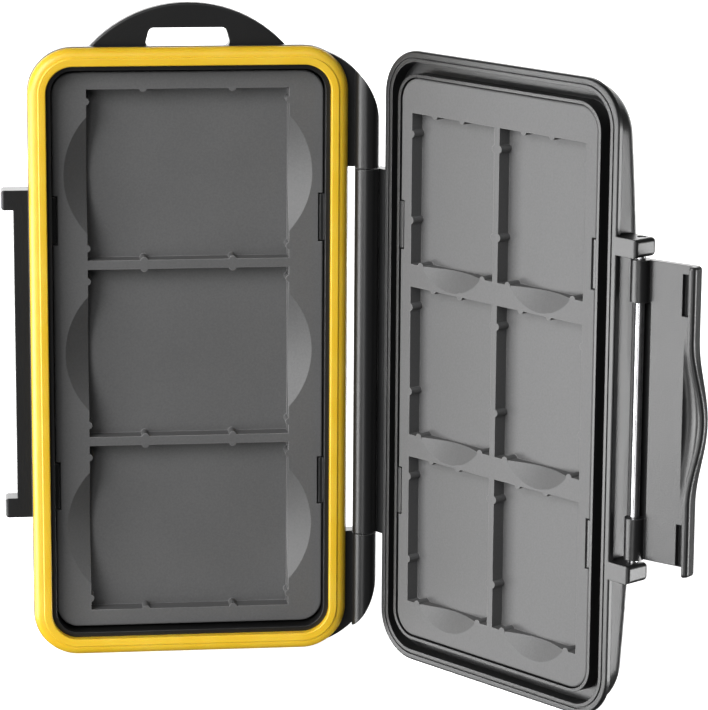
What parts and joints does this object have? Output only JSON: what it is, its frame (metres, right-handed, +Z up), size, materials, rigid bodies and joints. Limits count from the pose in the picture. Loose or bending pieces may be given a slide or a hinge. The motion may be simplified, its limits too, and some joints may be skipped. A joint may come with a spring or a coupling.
{
  "type": "memory card case",
  "caption": "Hard hinged case for memory cards: a black base and lid with a rubber seal, soft trays with card pockets, a swing latch and a carrying loop.",
  "frame": {"origin": "on the floor under the middle of the standing, half-open case", "axes": "+Z up along the hinge, +Y towards the back of the base, +X from the base towards the lid"},
  "size_m": [0.1387, 0.0798, 0.1422],
  "materials": {
    "shell": "satin moulded",
    "seal": "soft, satin",
    "tray": "soft, matt",
    "steel": "polished rod",
    "latch": "satin moulded"
  },
  "bodies": {
    "base": {"base_shell": "shell", "gasket": "seal", "cf_insert": "tray", "hinge_pin": "steel"},
    "lid": {"lid_shell": "shell", "sd_insert": "tray", "latch_pin": "steel"},
    "latch": {"latch": "latch"}
  },
  "joints": [
    {"name": "lid_hinge", "type": "hinge", "parent": "base", "child": "lid", "pos_m": [0.00855, 0.02836, 0.0666], "axis": [0, 0, 1], "range_deg": [-125.6, 54.4]},
    {"name": "latch_pivot", "type": "hinge", "parent": "lid", "child": "latch", "pos_m": [0.05677, -0.02972, 0.0666], "axis": [0, 0, 1], "range_deg": [-99.8, 70.2]}
  ]
}
